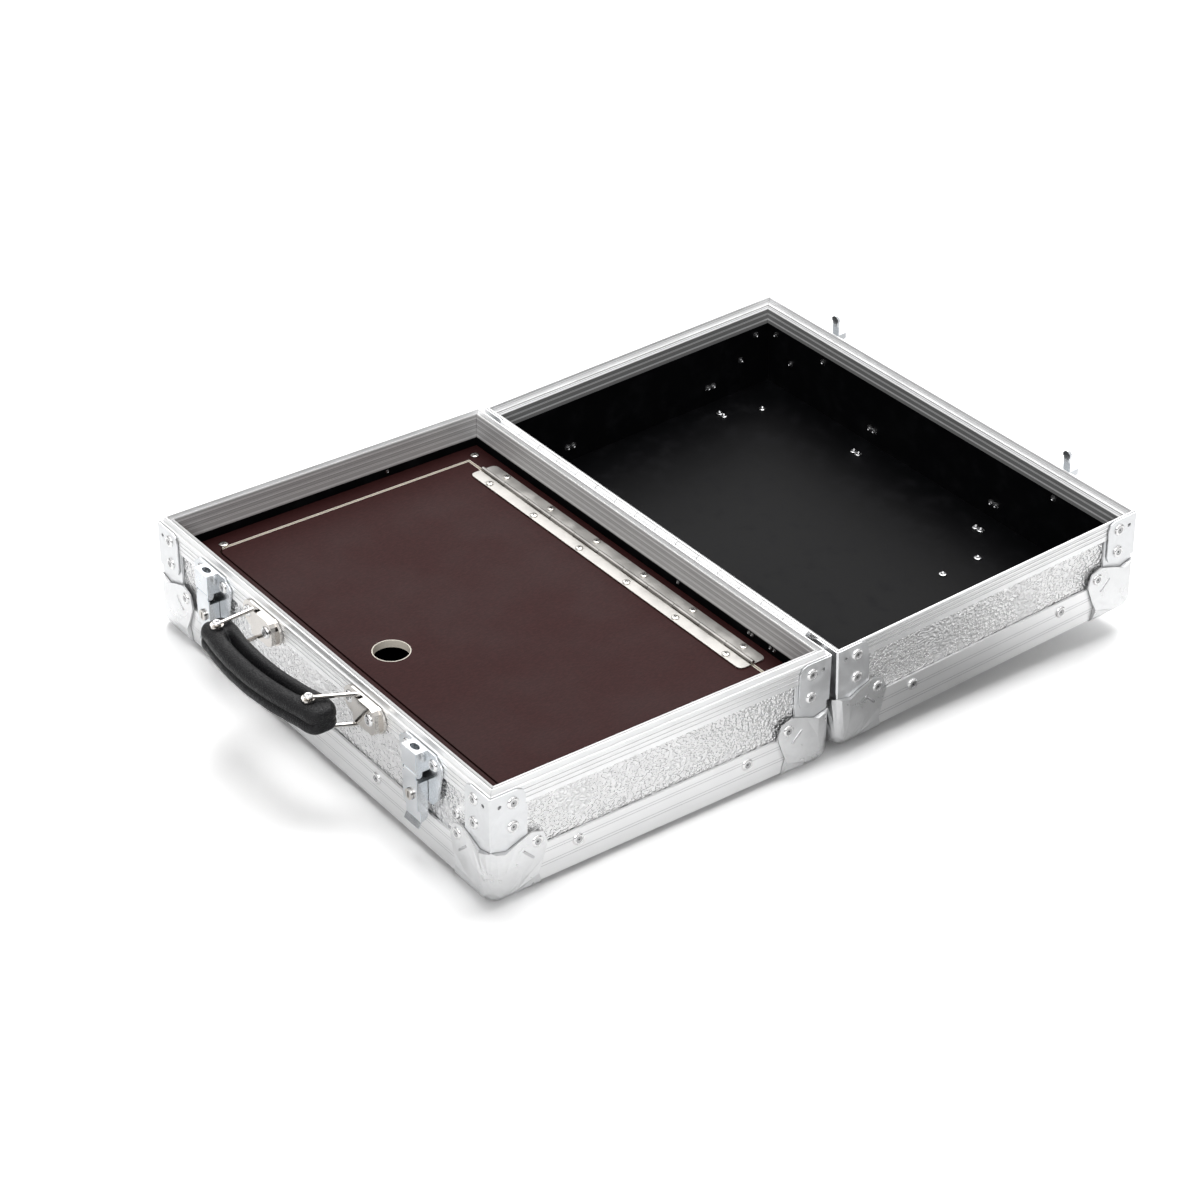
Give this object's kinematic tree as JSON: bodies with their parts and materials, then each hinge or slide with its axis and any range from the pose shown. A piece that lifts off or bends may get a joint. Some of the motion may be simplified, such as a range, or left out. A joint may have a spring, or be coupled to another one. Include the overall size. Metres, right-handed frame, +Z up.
{
  "type": "carrying case",
  "caption": "Hard carrying case with a full-size hinged lid, metal edge angles and ball corners, a drop handle, lever latches and an inner board with a hinged hatch.",
  "frame": {"origin": "centre of the open case's bounding box, at the level of the floor that the base stands on", "axes": "+X to the right along the front, +Y from the front with the handle to the rear, over the hinge to the open lid, +Z up"},
  "size_m": [0.4048, 0.6023, 0.1067],
  "materials": {
    "laminate": "stucco foil laminated outside, dark inside",
    "extrusion": "natural anodised, satin",
    "nickel": "nickel plated, satin",
    "steel": "zinc plated, bright",
    "board": "dark brown fibreboard, matt",
    "ply": "raw plywood",
    "leather": "black, grained and padded"
  },
  "bodies": {
    "base": {"base_shell": "laminate", "base_rim_front": "extrusion", "base_rim_rear": "extrusion", "base_rim_left": "extrusion", "base_rim_right": "extrusion", "base_edge_front": "extrusion", "base_edge_rear": "extrusion", "base_edge_left": "extrusion", "base_edge_right": "extrusion", "base_corner_left_front": "extrusion", "base_corner_right_front": "extrusion", "base_corner_left_rear": "extrusion", "base_corner_right_rear": "extrusion", "base_ball_left_front": "nickel", "base_ball_right_front": "nickel", "base_ball_left_rear": "nickel", "base_ball_right_rear": "nickel", "case_hinge_base_leaf": "extrusion", "case_hinge_pin": "steel", "board": "board", "board_ledge": "ply", "hatch_hinge_fixed_leaf": "steel", "hatch_hinge_pin": "steel", "latch_body_left": "steel", "latch_body_right": "steel", "handle_bracket_left": "nickel", "handle_bracket_right": "nickel"},
    "lid": {"lid_shell": "laminate", "lid_rim_front": "extrusion", "lid_rim_rear": "extrusion", "lid_rim_left": "extrusion", "lid_rim_right": "extrusion", "lid_edge_front": "extrusion", "lid_edge_rear": "extrusion", "lid_edge_left": "extrusion", "lid_edge_right": "extrusion", "lid_corner_left_front": "extrusion", "lid_corner_right_front": "extrusion", "lid_corner_left_rear": "extrusion", "lid_corner_right_rear": "extrusion", "lid_ball_left_front": "nickel", "lid_ball_right_front": "nickel", "lid_ball_left_rear": "nickel", "lid_ball_right_rear": "nickel", "case_hinge_lid_leaf": "extrusion", "keeper_left": "steel", "keeper_right": "steel"},
    "hatch": {"hatch": "board", "hatch_hinge_moving_leaf": "steel"},
    "lever_left": {"latch_lever_left": "steel"},
    "lever_right": {"latch_lever_right": "steel"},
    "cam_left": {"latch_cam_left": "steel"},
    "cam_right": {"latch_cam_right": "steel"},
    "key_left": {"key_barrel_left": "nickel"},
    "key_right": {"key_barrel_right": "nickel"},
    "bail_left": {"bail_left": "nickel"},
    "grip": {"grip": "leather"},
    "bail_right": {"bail_right": "nickel"}
  },
  "joints": [
    {"name": "lid_hinge", "type": "hinge", "parent": "base", "child": "lid", "pos_m": [0, 0.02065, 0.0825], "axis": [1, 0, 0], "range_deg": [0, 177.35]},
    {"name": "hatch_hinge", "type": "hinge", "parent": "base", "child": "hatch", "pos_m": [0, -0.0081, 0.0611], "axis": [1, 0, 0], "range_deg": [-100, 0]},
    {"name": "lever_left_pivot", "type": "hinge", "parent": "base", "child": "lever_left", "pos_m": [-0.126, -0.259, 0.0645], "axis": [1, 0, 0], "range_deg": [-85, 0]},
    {"name": "lever_right_pivot", "type": "hinge", "parent": "base", "child": "lever_right", "pos_m": [0.126, -0.259, 0.0645], "axis": [1, 0, 0], "range_deg": [-85, 0]},
    {"name": "cam_left_pivot", "type": "hinge", "parent": "base", "child": "cam_left", "pos_m": [-0.1214, -0.2566, 0.0694], "axis": [0, 1, 0], "range_deg": [0, 11]},
    {"name": "cam_right_pivot", "type": "hinge", "parent": "base", "child": "cam_right", "pos_m": [0.1306, -0.2566, 0.0694], "axis": [0, 1, 0], "range_deg": [0, 11]},
    {"name": "key_left_turn", "type": "hinge", "parent": "lever_left", "child": "key_left", "pos_m": [-0.126, -0.259, 0.0475], "axis": [0, 1, 0], "range_deg": [0, 90]},
    {"name": "key_right_turn", "type": "hinge", "parent": "lever_right", "child": "key_right", "pos_m": [0.126, -0.259, 0.0475], "axis": [0, 1, 0], "range_deg": [0, 90]},
    {"name": "handle_swing", "type": "hinge", "parent": "base", "child": "bail_left", "pos_m": [-0.064, -0.255, 0.0722], "axis": [0, 0, 1], "range_deg": [-8, 25]},
    {"name": "grip_swivel", "type": "hinge", "parent": "bail_left", "child": "grip", "pos_m": [-0.0613, -0.28679, 0.0722], "axis": [0, 0, 1], "range_deg": [-29.4, 9.6]},
    {"name": "bail_right_swivel", "type": "hinge", "parent": "grip", "child": "bail_right", "pos_m": [0.04524, -0.28328, 0.0722], "axis": [0, 0, 1], "range_deg": [-9.8, 30]}
  ],
  "couplings": [
    {"joint": "cam_left_pivot", "follows": "lever_left_pivot", "ratio": -0.125},
    {"joint": "cam_right_pivot", "follows": "lever_right_pivot", "ratio": -0.125},
    {"joint": "grip_swivel", "follows": "handle_swing", "ratio": -1.1668},
    {"joint": "bail_right_swivel", "follows": "handle_swing", "ratio": 1.191}
  ]
}
